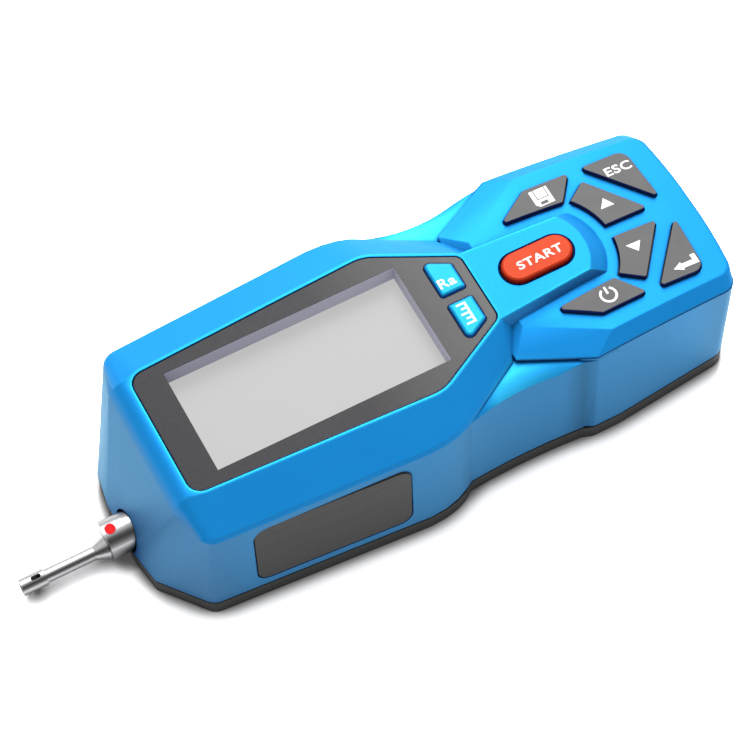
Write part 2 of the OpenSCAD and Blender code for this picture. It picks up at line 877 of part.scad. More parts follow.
module upper_shell() {
    color("#1e96e4")
    difference() {
        union() {
            difference() {
                union() {
                    lobe_solid();
                    waist_solid();
                    tail_solid();
                    deck_solid();
                    spine_solid();
                }
                lobe_hollow();
                waist_hollow();
                tail_hollow();
                intersection() {
                    slab(cavity_z - deck_fall - 1, deck_h)
                        under_deck_shape();
                    below_deck(-deck_t);
                }
            }
            // Bosses for the case screws and for the key board
            for (p = case_screw_spots)
                translate(at(p.x, p.y))
                    translate([0, 0, band_h])
                        cylinder(d = case_boss_d, h = case_boss_h);
            for (p = key_boss_spots)
                translate(at(p.x, p.y))
                    slab(key_board_z + board_t, wall_h - 1 - fall(p.x))
                        circle(d = post_d);
        }
        for (p = case_screw_spots)
            translate(at(p.x, p.y))
                translate([0, 0, band_h - 1])
                    cylinder(d = case_screw_d + 2 * fit_gap, h = case_boss_h - 1);
        // Seat of the display panel, and the well of its window
        slab(rim_h - panel_t, rim_h + 1)
            offset(delta = panel_gap)
                panel_outline();
        box(nose_x + window_x - window_wall - panel_gap,
            nose_x + window_x + window_l + window_wall + panel_gap,
            -window_w / 2 - window_wall - panel_gap,
            window_w / 2 + window_wall + panel_gap, ceiling_z - 1, rim_h);
        key_opening()
            deck_key_shapes();
        key_opening()
            start_key_shape();
        key_opening()
            both_sides()
                cap_key_shape();
        // Opening of the pickup, and the socket's cut-out
        bar_x(nose_x - 2, barrel_rear, barrel_hole_d, pickup_y, barrel_z);
        box(socket_x, tail_x + 1, -socket_w / 2 - socket_gap, socket_w / 2 + socket_gap,
            socket_z - socket_gap, socket_z + socket_h + socket_gap);
        on_near_wall()
            translate([0, 0, -plate_t])
                linear_extrude(4)
                    offset(delta = panel_gap)
                        plate_shape();
    }
}

module base_tray() {
    lip_gap = 1;
    lip_t = 1;
    lip_h = 2;
    inner = shell_t + lip_gap + lip_t;
    color("#3b3a3a")
    difference() {
        union() {
            difference() {
                union() {
                    slab(0, band_h - seam_h)
                        case_outline();
                    slab(0, band_h)
                        offset(delta = -seam_d)
                            case_outline();
                    slab(0, band_h + lip_h)
                        offset(delta = -shell_t - lip_gap)
                            case_outline();
                }
                slab(floor_t, band_h + lip_h + 1)
                    offset(delta = -inner)
                        case_outline();
                for (p = case_screw_spots)
                    translate(at(p.x, p.y))
                        slab(band_h, band_h + lip_h + 1)
                            circle(d = case_boss_d + 1.2);
            }
            for (p = case_screw_spots)
                translate(at(p.x, p.y))
                    cylinder(d = case_boss_d, h = band_h);
            for (p = board_post_spots)
                translate(at(p.x, p.y))
                    cylinder(d = post_d, h = board_z);
            translate(at(insert_x, 0))
                cylinder(d = insert_d + 3, h = insert_l + 1.2);
            // Ribs that hold the battery at both ends
            for (x = [battery_x - 1.6, battery_x + battery_l + 0.4])
                box(nose_x + x, nose_x + x + 1.2, -10, 10, 0, floor_t + 5);
        }
        for (p = case_screw_spots)
            translate(at(p.x, p.y)) {
                translate([0, 0, -1])
                    cylinder(d = case_screw_d + 2 * fit_gap, h = band_h + 2);
                translate([0, 0, -1])
                    cylinder(d = case_head_d + 0.4, h = head_h + head_sink + 1);
            }
        translate(at(insert_x, 0))
            translate([0, 0, -1])
                cylinder(d = insert_d + 2 * seat_gap, h = insert_l + 1);
        bar_x(nose_x - 2, barrel_rear + carriage_l + traverse, barrel_hole_d, pickup_y, barrel_z);
    }
}

module display_panel() {
    color("#4b494e")
    difference() {
        union() {
            slab(rim_h - panel_t, rim_h)
                panel_outline();
            box(nose_x + window_x - window_wall, nose_x + window_x + window_l + window_wall,
                -window_w / 2 - window_wall, window_w / 2 + window_wall,
                lcd_top, rim_h - panel_t + eps);
        }
        box(nose_x + window_x, nose_x + window_x + window_l,
            -window_w / 2, window_w / 2, lcd_top - 1, rim_h + 1);
        slab(lcd_top - 1, rim_h + 1)
            offset(delta = key_gap)
                both_sides()
                    cap_key_shape();
    }
}

lcd_margin = 2;
lcd_glass_t = 1.2;
lcd_frame_t = 4;

module lcd_glass() {
    color("#d4d4d4")
    box(nose_x + window_x - lcd_margin, nose_x + window_x + window_l + lcd_margin,
        -window_w / 2 - lcd_margin, window_w / 2 + lcd_margin, lcd_top - lcd_glass_t, lcd_top);
}

module lcd_frame() {
    color("#23402f")
    difference() {
        box(nose_x + window_x - lcd_margin - 1, nose_x + window_x + window_l + lcd_margin + 1,
            -window_w / 2 - lcd_margin - 1, window_w / 2 + lcd_margin + 1,
            lcd_top - lcd_glass_t - lcd_frame_t, lcd_top - 0.3);
        box(nose_x + window_x - lcd_margin - seat_gap, nose_x + window_x + window_l + lcd_margin + seat_gap,
            -window_w / 2 - lcd_margin - seat_gap, window_w / 2 + lcd_margin + seat_gap,
            lcd_top - lcd_glass_t, lcd_top + 1);
    }
}

module nameplate() {
    color("#4d4b50")
    on_near_wall()
        translate([0, 0, -plate_t])
            linear_extrude(plate_t)
                plate_shape();
}

module start_key() {
    color("#ff5532")
    key(rim_h + key_rise, key_edge)
        start_key_shape();
}

module save_key() {
    color("#8a8a8c")
    deck_key()
        side_key_shape();
}

module power_key() {
    color("#8a8a8c")
    mirror([0, 1, 0])
        deck_key()
            side_key_shape();
}

module up_arrow_key() {
    color("#8a8a8c")
    deck_key()
        arrow_key_shape();
}

module down_arrow_key() {
    color("#8a8a8c")
    mirror([0, 1, 0])
        deck_key()
            arrow_key_shape();
}

module escape_key() {
    color("#8a8a8c")
    deck_key()
        corner_key_shape();
}

module enter_key() {
    color("#8a8a8c")
    mirror([0, 1, 0])
        deck_key()
            corner_key_shape();
}

module parameter_key() {
    color("#1edcff")
    key(rim_h + key_rise * 0.7, key_edge)
        cap_key_shape();
}

module trace_key() {
    color("#1edcff")
    mirror([0, 1, 0])
        key(rim_h + key_rise * 0.7, key_edge)
            cap_key_shape();
}

key_board_end = corner_key_x + corner_key_l + 1.2;
key_board_w = 2 * (corner_key_y + 4.1);

module key_board() {
    color("#1f6b45")
    difference() {
        slab(key_board_z, key_board_z + board_t)
            polygon(mirrored([
                at(cap_x - 1.6, key_board_w / 2 - 7.4),
                at(start_x - 1.8, key_board_w / 2 - 0.8),
                at(corner_key_x, key_board_w / 2),
                at(key_board_end, key_board_w / 2 - 1.6),
                at(key_board_end, socket_w / 2 + 1),
                [socket_x - 0.8, socket_w / 2 + 1]
            ]));
        for (p = key_boss_spots)
            translate(at(p.x, p.y))
                translate([0, 0, key_board_z - 1])
                    cylinder(d = 1.8, h = board_t + 2);
    }
}

// A tact switch stands under the middle of each key
switch_spots = [
    [start_x + start_l / 2, 0],
    for (side = [-1, 1]) each [
        [side_key_x + side_key_l * 0.53, side * (side_key_y + side_key_w * 0.44)],
        [arrow_key_x + arrow_key_l * 0.53, side * (arrow_key_in_y + arrow_key_out_y) * 0.41],
        [corner_key_x + corner_key_l * 0.68, side * (corner_key_y - corner_key_w * 0.35)],
        [cap_x + cap_l / 2, side * cap_front_w * 0.245]
    ]
];

module key_switches() {
    side = 4.5;
    body_h = switch_h - 0.5;
    color("#2b2b2e")
    for (p = switch_spots)
        translate(concat(at(p.x, p.y), [key_board_z + board_t])) {
            translate([-side / 2, -side / 2, 0])
                cube([side, side, body_h]);
            cylinder(d = 2.4, h = switch_h);
        }
}

module main_board() {
    color("#1f6b45")
    difference() {
        slab(board_z, board_z + board_t)
            polygon(mirrored([
                at(main_board_x, main_board_w / 2 - 0.6),
                at(waist_x + waist_l / 2, main_board_w / 2),
                at(waist_end + 20, main_board_w / 2),
                [board_end, main_board_w / 2 - 5]
            ]));
        for (p = board_post_spots)
            translate(at(p.x, p.y))
                translate([0, 0, board_z - 1])
                    cylinder(d = 1.8, h = board_t + 2);
    }
}

module pan_head() {
    cylinder(d = 3.6, h = 1.2);
}

module board_screws() {
    color("#c8c8cc") {
        for (p = board_post_spots)
            translate(concat(at(p.x, p.y), [board_z + board_t]))
                pan_head();
        for (p = key_boss_spots)
            translate(concat(at(p.x, p.y), [key_board_z - 1.2]))
                pan_head();
    }
}

module battery() {
    color("#3f6ea8")
    box(nose_x + battery_x, nose_x + battery_x + battery_l,
        -battery_w / 2, battery_w / 2, floor_t, floor_t + battery_h);
}

module charge_socket() {
    color("#b9bbc0")
    difference() {
        box(socket_x, socket_x + socket_l, -socket_w / 2, socket_w / 2,
            socket_z, socket_z + socket_h);
        box(socket_x + 2, socket_x + socket_l + 1, -socket_w / 2 + 0.5, socket_w / 2 - 0.5,
            socket_z + 0.5, socket_z + socket_h - 0.5);
    }
}

module drive_frame() {
    half = frame_w / 2;
    color("#9a9ca2")
    difference() {
        union() {
            box(front_plate, motor_end, pickup_y - half, pickup_y + half,
                floor_t, floor_t + frame_base_t);
            for (x = [front_plate, rear_plate, bracket_x])
                box(x, x + frame_t, pickup_y - half, pickup_y + half, floor_t, frame_top);
            // Cradle of the motor
            box(motor_x, motor_end, pickup_y - 4, pickup_y + 4, floor_t, screw_z);
        }
        bar_x(front_plate - 1, rear_plate + frame_t + 1, barrel_hole_d, pickup_y, barrel_z);
        for (y = [-1, 1])
            bar_x(front_plate - 1, rear_plate + frame_t + 1, rod_d + 2 * seat_gap,
                  pickup_y + y * rod_pitch / 2, rod_z);
        bar_x(front_plate - 1, front_plate + frame_t + 1, screw_tail_d + 2 * fit_gap,
              pickup_y, screw_z);
        bar_x(rear_plate - 1, rear_plate + frame_t + 1, screw_d + 2 * fit_gap, pickup_y, screw_z);
        bar_x(bracket_x - 1, bracket_x + frame_t + 1, 4, pickup_y, screw_z);
        bar_x(motor_x, motor_end + 1, motor_d + 2 * seat_gap, pickup_y, screw_z);
    }
}

module guide_rods() {
    color("#d0d2d6")
    for (y = [-1, 1])
        bar_x(front_plate, rear_plate + frame_t, rod_d, pickup_y + y * rod_pitch / 2, rod_z);
}

module carriage() {
    half = carriage_w / 2;
    color("#77797f")
    difference() {
        box(barrel_rear, carriage_rear, pickup_y - half, pickup_y + half,
            carriage_bottom, carriage_top);
        for (y = [-1, 1])
            bar_x(barrel_rear - 1, carriage_rear + 1, rod_d + 2 * fit_gap,
                  pickup_y + y * rod_pitch / 2, rod_z);
        bar_x(barrel_rear - 1, carriage_rear + 1, screw_d + 2 * fit_gap, pickup_y, screw_z);
    }
}

module connector_plug() {
    color("#26262a") {
        bar_x(barrel_rear - plug_l, barrel_rear, plug_d, pickup_y, barrel_z);
        for (a = [45:90:315])
            bar_x(barrel_rear - plug_l - pin_l, barrel_rear - plug_l + 0.5, 0.8,
                  pickup_y + 1.6 * cos(a), barrel_z + 1.6 * sin(a));
    }
}

screw_tail_d = screw_d - 1;

module lead_screw() {
    color("#c5c7cc") {
        bar_x(front_plate, front_plate + frame_t + 0.3, screw_tail_d, pickup_y, screw_z);
        bar_x(front_plate + frame_t + 0.3, coupling_x + screw_tail_l, screw_d, pickup_y, screw_z);
    }
}

module shaft_coupling() {
    color("#b48a3c")
    difference() {
        union() {
            bar_x(coupling_x, coupling_x + coupling_l, screw_d + 3, pickup_y, screw_z);
            bar_x(coupling_x + coupling_l - 0.5, motor_x + 2, shaft_d, pickup_y, screw_z);
        }
        bar_x(coupling_x - 1, coupling_x + screw_tail_l, screw_d + 2 * seat_gap, pickup_y, screw_z);
    }
}

module drive_motor() {
    color("#a9abb0")
    difference() {
        bar_x(motor_x, motor_end, motor_d, pickup_y, screw_z);
        bar_x(motor_x - 1, motor_x + 3, shaft_d + 2 * fit_gap, pickup_y, screw_z);
    }
}

dot_sink = 0.6;
dot_x = barrel_front + dot_d / 2 + 0.4;

module pickup_barrel() {
    color("#c9cbd0")
    difference() {
        bar_x(barrel_front, barrel_rear, barrel_d, pickup_y, barrel_z);
        bar_x(barrel_rear - plug_l, barrel_rear + 1, plug_d + 2 * seat_gap, pickup_y, barrel_z);
        bar_x(barrel_rear - plug_l - pin_l - 0.5, barrel_rear, 4.6, pickup_y, barrel_z);
        translate([dot_x, pickup_y, barrel_z + barrel_d / 2 - dot_sink])
            cylinder(d = dot_d + 2 * seat_gap, h = 2);
    }
}

module orientation_dot() {
    color("#ff1e1e")
    translate([dot_x, pickup_y, barrel_z + barrel_d / 2 - dot_sink])
        cylinder(d = dot_d, h = dot_sink);
}

// Places along the stem, behind its tip
tip_x = 1.7;
skid_x = 3.6;
slot_x = 3.7;
pivot_x = 12;
pivot_d = 0.6;
skid_d = 1.6;
skid_clear = 0.1;

module pickup_stem() {
    color("#c9cbd0")
    difference() {
        union() {
            intersection() {
                translate([barrel_front, pickup_y, stem_z])
                    rotate([0, -90, 0])
                        cylinder(d1 = flare_d, d2 = neck_d, h = flare_l);
                bar_x(barrel_front - flare_l, barrel_front, barrel_d, pickup_y, barrel_z);
            }
            bar_x(stem_tip, barrel_front, neck_d, pickup_y, stem_z);
            bar_x(stem_tip, stem_tip + head_l, head_d, pickup_y, stem_z);
        }
        bar_x(stem_tip - 1, stem_tip + head_l - 1, head_bore, pickup_y, stem_z);
        bar_x(stem_tip - 1, stem_tip + pivot_x + 2, stem_bore, pickup_y, stem_z);
        // Slot on top of the head, and the way out for the stylus
        hull()
            for (x = [-0.7, 0.7])
                translate([stem_tip + slot_x + x, pickup_y, stem_z])
                    cylinder(d = 1, h = head_d, $fn = 24);
        translate([stem_tip + tip_x, pickup_y, stem_z - head_d])
            cylinder(d = 1.6, h = head_d);
        translate([stem_tip + skid_x, pickup_y, stem_z - head_d])
            cylinder(d = skid_d + 2 * seat_gap, h = head_d);
        translate([stem_tip + pivot_x, pickup_y - neck_d, stem_z])
            rotate([-90, 0, 0])
                cylinder(d = pivot_d + 2 * seat_gap, h = 2 * neck_d);
    }
}

lever_t = 0.5;
lever_w = 0.8;

module stylus_lever() {
    color("#8d8f94")
    difference() {
        union() {
            box(stem_tip + tip_x - 0.5, stem_tip + pivot_x, pickup_y - lever_w / 2,
                pickup_y + lever_w / 2, stem_z - lever_t / 2, stem_z + lever_t / 2);
            translate([stem_tip + pivot_x, pickup_y - lever_w / 2, stem_z])
                rotate([-90, 0, 0])
                    cylinder(d = pivot_d + 0.7, h = lever_w);
        }
        translate([stem_tip + pivot_x, pickup_y - neck_d, stem_z])
            rotate([-90, 0, 0])
                cylinder(d = pivot_d + 2 * fit_gap, h = 2 * neck_d);
    }
}

module stylus_pivot() {
    color("#e0e2e6")
    translate([stem_tip + pivot_x, pickup_y - neck_d / 2 + 0.1, stem_z])
        rotate([-90, 0, 0])
            cylinder(d = pivot_d, h = neck_d - 0.2);
}

module stylus_tip() {
    color("#e8d9a0")
    translate([stem_tip + tip_x, pickup_y, skid_clear])
        union() {
            cylinder(d1 = 0.1, d2 = 0.7, h = 0.7);
            translate([0, 0, 0.7])
                cylinder(d = 0.7, h = stem_z - lever_t / 2 - skid_clear - 0.7);
        }
}

module skid() {
    r = skid_d / 2;
    top = stem_z - head_bore / 2 - 0.05;
    color("#b0343c")
    translate([stem_tip + skid_x, pickup_y, 0])
        rotate_extrude()
            polygon(concat(
                [[0, top], [0, skid_clear]],
                [for (i = [1:8]) [r * sin(i * 90 / 8), skid_clear + r * (1 - cos(i * 90 / 8))]],
                [[r, top]]));
}

module case_screws() {
    color("#c8c8cc")
    for (p = case_screw_spots)
        translate(at(p.x, p.y)) {
            translate([0, 0, head_sink])
                cylinder(d = case_head_d, h = head_h);
            translate([0, 0, head_sink + head_h - eps])
                cylinder(d = case_screw_d, h = case_screw_l);
        }
}

module stand_insert() {
    color("#c9a24a")
    translate(at(insert_x, 0))
        difference() {
            cylinder(d = insert_d, h = insert_l);
            translate([0, 0, -1])
                cylinder(d = insert_bore, h = insert_l + 2);
        }
}

upper_shell();
base_tray();
display_panel();
lcd_glass();
lcd_frame();
nameplate();
start_key();
save_key();
power_key();
up_arrow_key();
down_arrow_key();
escape_key();
enter_key();
parameter_key();
trace_key();
key_board();
key_switches();
main_board();
board_screws();
battery();
charge_socket();
drive_frame();
guide_rods();
carriage();
connector_plug();
lead_screw();
shaft_coupling();
drive_motor();
pickup_barrel();
orientation_dot();
pickup_stem();
stylus_lever();
stylus_pivot();
stylus_tip();
skid();
case_screws();
stand_insert();
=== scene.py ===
"""Looks of a handheld surface roughness tester: finishes, printed legends, camera and light."""

import json
import math

import bmesh
import bpy
from mathutils import Matrix, Vector
from mathutils.bvhtree import BVHTree


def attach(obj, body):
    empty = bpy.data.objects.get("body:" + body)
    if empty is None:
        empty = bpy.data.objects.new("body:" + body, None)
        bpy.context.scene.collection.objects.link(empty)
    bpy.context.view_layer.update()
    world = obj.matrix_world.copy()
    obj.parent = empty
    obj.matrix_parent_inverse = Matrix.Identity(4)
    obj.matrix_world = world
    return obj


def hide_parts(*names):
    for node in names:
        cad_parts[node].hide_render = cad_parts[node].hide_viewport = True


MM = 0.001
WELD_REACH = 0.002 * MM

KEYS = ("start", "save", "power", "up_arrow", "down_arrow", "escape", "enter", "parameter", "trace")

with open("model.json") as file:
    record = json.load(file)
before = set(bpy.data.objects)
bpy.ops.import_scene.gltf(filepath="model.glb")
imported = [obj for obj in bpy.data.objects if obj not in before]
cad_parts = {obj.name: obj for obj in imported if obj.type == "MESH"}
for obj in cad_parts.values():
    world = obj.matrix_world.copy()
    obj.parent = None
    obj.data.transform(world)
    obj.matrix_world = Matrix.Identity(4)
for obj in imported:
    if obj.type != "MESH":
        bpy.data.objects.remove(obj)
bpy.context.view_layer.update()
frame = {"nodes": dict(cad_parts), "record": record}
nodes = frame["nodes"]
scene = bpy.context.scene
scene.view_settings.view_transform = "Standard"


def add_object(name, data):
    made = bpy.data.objects.new(name, data)
    scene.collection.objects.link(made)
    return made


# Camera and light

CAMERA_PLACE = Vector((-0.1402, -0.2655, 0.5520))
CAMERA_LOOK = Vector((0.21743, 0.43590, -0.87334))
CAMERA_RIGHT = Vector((0.88264, -0.46983, -0.01475))
CAMERA_SENSOR, CAMERA_LENS = 36.0, 133.54

DOME_STRENGTH = 1.3

# Square lights that face the origin: place and side in metres, power in watts
LIGHTS = {
    "sheen_light": ((0.25, 0.50, 1.00), 0.5, 11.0),
    "side_light": ((0.44, 0.84, 0.74), 0.6, 30.0),
}


def add_camera():
    """The photograph's view: from the near side, ahead of the nose, high up."""
    data = bpy.data.cameras.new("camera")
    data.sensor_width = CAMERA_SENSOR
    data.lens = CAMERA_LENS
    camera = add_object("camera", data)
    up = CAMERA_RIGHT.cross(CAMERA_LOOK)
    turn = Matrix((CAMERA_RIGHT, up, -CAMERA_LOOK)).transposed().to_4x4()
    camera.matrix_world = Matrix.Translation(CAMERA_PLACE) @ turn
    scene.camera = camera


def add_lights():
    """A white dome, and the lights that give the top its sheen and part the sides from it."""
    world = bpy.data.worlds.new("studio")
    world.use_nodes = True
    background = world.node_tree.nodes["Background"]
    background.inputs["Color"].default_value = (1.0, 1.0, 1.0, 1.0)
    background.inputs["Strength"].default_value = DOME_STRENGTH
    scene.world = world
    for name, (place, side, power) in LIGHTS.items():
        data = bpy.data.lights.new(name, "AREA")
        data.shape = "SQUARE"
        data.size = side
        data.energy = power
        light = add_object(name, data)
        light.location = place
        light.rotation_euler = (-Vector(place)).to_track_quat("-Z", "Y").to_euler()


# Finishes

# The part of its range that a noise mostly fills
NOISE_LOW, NOISE_HIGH = 0.3, 0.7


def shade(colour, factor):
    return tuple(c * factor for c in colour)


class Finish:
    """A Principled material whose colour, roughness and relief come from nodes on object coordinates."""

    def __init__(self, name, roughness=0.5, metallic=0.0, coat=0.0, specular=0.5, edge=0.0):
        """edge is the radius, in millimetres, that sharp edges seem to be rounded to."""
        self.edge = edge
        self.material = bpy.data.materials.new(name)
        self.material.use_nodes = True
        self.tree = self.material.node_tree
        self.shader = self.tree.nodes["Principled BSDF"]
        self.shader.inputs["Roughness"].default_value = roughness
        self.shader.inputs["Metallic"].default_value = metallic
        self.shader.inputs["Coat Weight"].default_value = coat
        self.shader.inputs["Specular IOR Level"].default_value = specular
        self.coords = self.add("ShaderNodeTexCoord")

    def add(self, kind, **values):
        """A node with the given input values, by socket name."""
        made = self.tree.nodes.new(kind)
        for socket, value in values.items():
            made.inputs[socket].default_value = value
        return made

    def link(self, source, target):
        self.tree.links.new(source, target)

    def noise(self, scale, detail=3.0, along=(1.0, 1.0, 1.0)):
        """Noise on object coordinates, which along stretches by a number for each axis."""
        mapping = self.add("ShaderNodeMapping", Scale=along)
        self.link(self.coords.outputs["Object"], mapping.inputs["Vector"])
        made = self.add("ShaderNodeTexNoise", Scale=scale, Detail=detail)
        self.link(mapping.outputs["Vector"], made.inputs["Vector"])
        return made.outputs["Fac"]

    def cells(self, size, gap, first, second, between):
        """A grid of cells in two colours and the gaps between them; size and gap in millimetres."""
        made = self.add("ShaderNodeTexBrick", Scale=1.0, **{
            "Brick Width": size[0] * MM, "Row Height": size[1] * MM, "Mortar Size": gap * MM,
            "Color1": (*first, 1.0), "Color2": (*second, 1.0), "Mortar": (*between, 1.0)})
        self.link(self.coords.outputs["Object"], made.inputs["Vector"])
        return made

    def ramp(self, factor, *stops):
        """Colours along a factor, each stop a place and a linear colour."""
        made = self.add("ShaderNodeValToRGB")
        elements = made.color_ramp.elements
        while len(elements) < len(stops):
            elements.new(0.5)
        for element, (place, colour) in zip(elements, stops):
            element.position = place
            element.color = (*colour, 1.0)
        self.link(factor, made.inputs["Fac"])
        return made.outputs["Color"]

    def tones(self, noise, colour, low, high):
        """A colour that goes with a noise from one share of itself to another."""
        return self.ramp(noise, (NOISE_LOW, shade(colour, low)), (NOISE_HIGH, shade(colour, high)))

    def mix(self, factor, first, second):
        made = self.add("ShaderNodeMix")
        made.data_type = "RGBA"
        self.link(factor, made.inputs["Factor"])
        self.link(first, made.inputs["A"])
        self.link(second, made.inputs["B"])
        return next(o for o in made.outputs if o.type == "RGBA")

    def span(self, value, low, high, to_low=0.0, to_high=1.0):
        """Value between low and high, mapped onto another span and clamped."""
        made = self.add("ShaderNodeMapRange", **{
            "From Min": low, "From Max": high, "To Min": to_low, "To Max": to_high})
        self.link(value, made.inputs["Value"])
        return made.outputs["Result"]

    def between(self, axis, low, high):
        """Zero at one place along an axis, one at another; the places are in millimetres."""
        made = self.add("ShaderNodeSeparateXYZ")
        self.link(self.coords.outputs["Object"], made.inputs["Vector"])
        return self.span(made.outputs[axis], low * MM, high * MM)

    def facing_up(self, low=0.35, high=0.8):
        """One on faces that lie flat, zero on upright ones."""
        geometry = self.add("ShaderNodeNewGeometry")
        parts = self.add("ShaderNodeSeparateXYZ")
        self.link(geometry.outputs["Normal"], parts.inputs["Vector"])
        return self.span(parts.outputs["Z"], low, high)

    def agreement(self):
        """A node that compares the normal with a direction, its second input."""
        geometry = self.add("ShaderNodeNewGeometry")
        made = self.add("ShaderNodeVectorMath")
        made.operation = "DOT_PRODUCT"
        self.link(geometry.outputs["Normal"], made.inputs[0])
        return made

    def facing(self, direction):
        """One on faces turned towards a direction, zero on faces turned away from it."""
        made = self.agreement()
        made.inputs[1].default_value = direction
        return self.span(made.outputs["Value"], -1.0, 1.0)

    def edges(self, reach):
        """One along sharp edges, zero farther from them than reach in millimetres."""
        flat, sharp = 0.985, 0.84
        rounded = self.add("ShaderNodeBevel", Radius=reach * MM)
        made = self.agreement()
        self.link(rounded.outputs["Normal"], made.inputs[1])
        return self.span(made.outputs["Value"], flat, sharp)

    def openness(self, reach):
        """One on open faces, less in gaps and corners whose walls stand within reach in millimetres."""
        made = self.add("ShaderNodeAmbientOcclusion", Distance=reach * MM)
        return made.outputs["AO"]

    def colour(self, source):
        self.link(source, self.shader.inputs["Base Color"])

    def glow(self, source, strength):
        self.link(source, self.shader.inputs["Emission Color"])
        self.shader.inputs["Emission Strength"].default_value = strength

    def roughen(self, noise, low, high):
        rough = self.span(noise, NOISE_LOW, NOISE_HIGH, low, high)
        self.link(rough, self.shader.inputs["Roughness"])

    def relief(self, height, strength, depth):
        """Bumps of a depth in millimetres, on normals that round the sharp edges."""
        bump = self.add("ShaderNodeBump", Strength=strength, Distance=depth * MM)
        if self.edge > 0:
            rounded = self.add("ShaderNodeBevel", Radius=self.edge * MM)
            self.link(rounded.outputs["Normal"], bump.inputs["Normal"])
        self.link(height, bump.inputs["Height"])
        self.link(bump.outputs["Normal"], self.shader.inputs["Normal"])


# Scales of the noise on moulded plastic: its grain, and the slow drift of its tone
GRAIN = 2600.0
DRIFT = 55.0


def moulded(name, colour, roughness, grain=GRAIN, strength=0.08, spread=0.06, **sockets):
    """Moulded plastic: a fine grain, and a tone that drifts a little over the part."""
    finish = Finish(name, roughness, **sockets)
    drift = finish.noise(DRIFT, 2.0)
    finish.colour(finish.tones(drift, colour, 1 - spread, 1 + spread))
    fine = finish.noise(grain, 4.0)
    finish.roughen(fine, roughness - 0.04, roughness + 0.05)
    finish.relief(fine, strength, 0.04)
    return finish


# Painted shade on the shell's walls, by their place along X in millimetres: darker at the ends and in
# the crease
WALL_SIDE_SHADE = (0.025, 0.111, 0.240)
WALL_END_SHADE = (0.030, 0.090, 0.188)
WALL_CREASE_SHADE = (0.016, 0.070, 0.150)
WALL_SHADES = (
    (-62.0, WALL_END_SHADE), (-50.0, WALL_SIDE_SHADE), (25.5, WALL_SIDE_SHADE), (30.3, WALL_CREASE_SHADE),
    (33.8, WALL_SIDE_SHADE), (58.0, WALL_SIDE_SHADE), (68.0, WALL_END_SHADE),
)
WALL_REACH = 75.0

# Where the zones of the shell's painted highlights and painted shadow pass into each other, in
# millimetres
RIM_HIGHLIGHT_Z = (36.4, 37.0)
LEDGE_HIGHLIGHT_Z = (31.5, 33.5)
LEDGE_HIGHLIGHT_START_X, LEDGE_HIGHLIGHT_END_X = (6.0, 10.0), (14.0, 30.0)
NOSE_SHADOW_X = (-52.0, -62.0)


def shell_finish():
    """Satin shell: clear blue on top, walls painted greyer and darker as shade, painted highlights round
    the panel and on the ledge, painted shade in hollows, gaps and beside the barrel.
    """
    finish = Finish("shell", 0.42, metallic=0.3, specular=0.05, edge=0.45)
    finish.shader.inputs["Specular Tint"].default_value = (0.2, 0.85, 1.0, 1.0)
    drift = finish.noise(DRIFT, 2.0)

    def tone(*colour):
        return finish.tones(drift, colour, 0.98, 1.02)

    top = tone(0.005, 0.118, 0.310)
    rim_highlight = tone(0.015, 0.300, 0.430)
    ledge_highlight = tone(0.014, 0.225, 0.410)
    hollow_shade = tone(0.002, 0.050, 0.185)
    nose_shadow = tone(0.001, 0.030, 0.140)
    gap = tone(0.001, 0.022, 0.095)

    # Painted highlight: paler along sharp edges high on the shell, round the panel.
    edge_highlights = finish.mix(finish.edges(0.9), top, rim_highlight)
    upper = finish.mix(finish.between("Z", *RIM_HIGHLIGHT_Z), top, edge_highlights)
    # Painted highlight on the waist's ledge: paler on low faces between its start and end along X.
    low = finish.mix(finish.between("Z", *LEDGE_HIGHLIGHT_Z), ledge_highlight, upper)
    waist = finish.mix(finish.between("X", *LEDGE_HIGHLIGHT_START_X), upper, low)
    flat = finish.mix(finish.between("X", *LEDGE_HIGHLIGHT_END_X), waist, upper)
    # Painted shade: upright faces take the greyer, darker wall tones, flat faces the lit top.
    stops = [((x + WALL_REACH) / (2 * WALL_REACH), colour) for x, colour in WALL_SHADES]
    wall_shade = finish.ramp(finish.between("X", -WALL_REACH, WALL_REACH), *stops)
    body = finish.mix(finish.facing_up(0.25, 0.6), wall_shade, flat)

    # Painted shade in hollows, a deeper painted shadow on the nose beside the barrel, and painted shade
    # in narrow gaps.
    open_share = finish.openness(9.0)
    shaded = finish.mix(finish.span(open_share, 0.3, 0.9), hollow_shade, body)
    nose = finish.mix(finish.span(open_share, 0.55, 0.95), nose_shadow, body)
    cover = finish.mix(finish.between("X", *NOSE_SHADOW_X), shaded, nose)
    finish.colour(finish.mix(finish.span(finish.openness(1.1), 0.3, 0.9), gap, cover))
    fine = finish.noise(GRAIN, 4.0)
    finish.roughen(fine, 0.38, 0.47)
    finish.relief(fine, 0.05, 0.04)
    return finish


def key_finish(name, top, side):
    """Soft-touch key: its upright faces are painted darker than its top, as shade."""
    roughness = 0.42
    finish = Finish(name, roughness, specular=0.05, edge=0.2)
    drift = finish.noise(260.0, 3.0)
    tops = finish.tones(drift, top, 0.95, 1.04)
    # Painted shade: the upright faces take the darker side colour.
    shaded_sides = finish.tones(drift, side, 0.9, 1.1)
    finish.colour(finish.mix(finish.facing_up(0.75, 0.95), shaded_sides, tops))
    fine = finish.noise(3200.0, 3.0)
    finish.roughen(fine, roughness - 0.04, roughness + 0.06)
    finish.relief(fine, 0.06, 0.03)
    return finish


def turned_metal(name, colour, roughness, lines=2400.0, strength=0.06):
    """Metal with fine turning lines across X."""
    finish = Finish(name, roughness, metallic=1.0)
    round_the_part = lines * 0.02
    marks = finish.noise(1.0, 2.0, along=(lines, round_the_part, round_the_part))
    finish.colour(finish.ramp(marks, (0.25, shade(colour, 0.94)), (0.75, shade(colour, 1.03))))
    finish.roughen(marks, roughness - 0.05, roughness + 0.07)
    finish.relief(marks, strength, 0.02)
    return finish


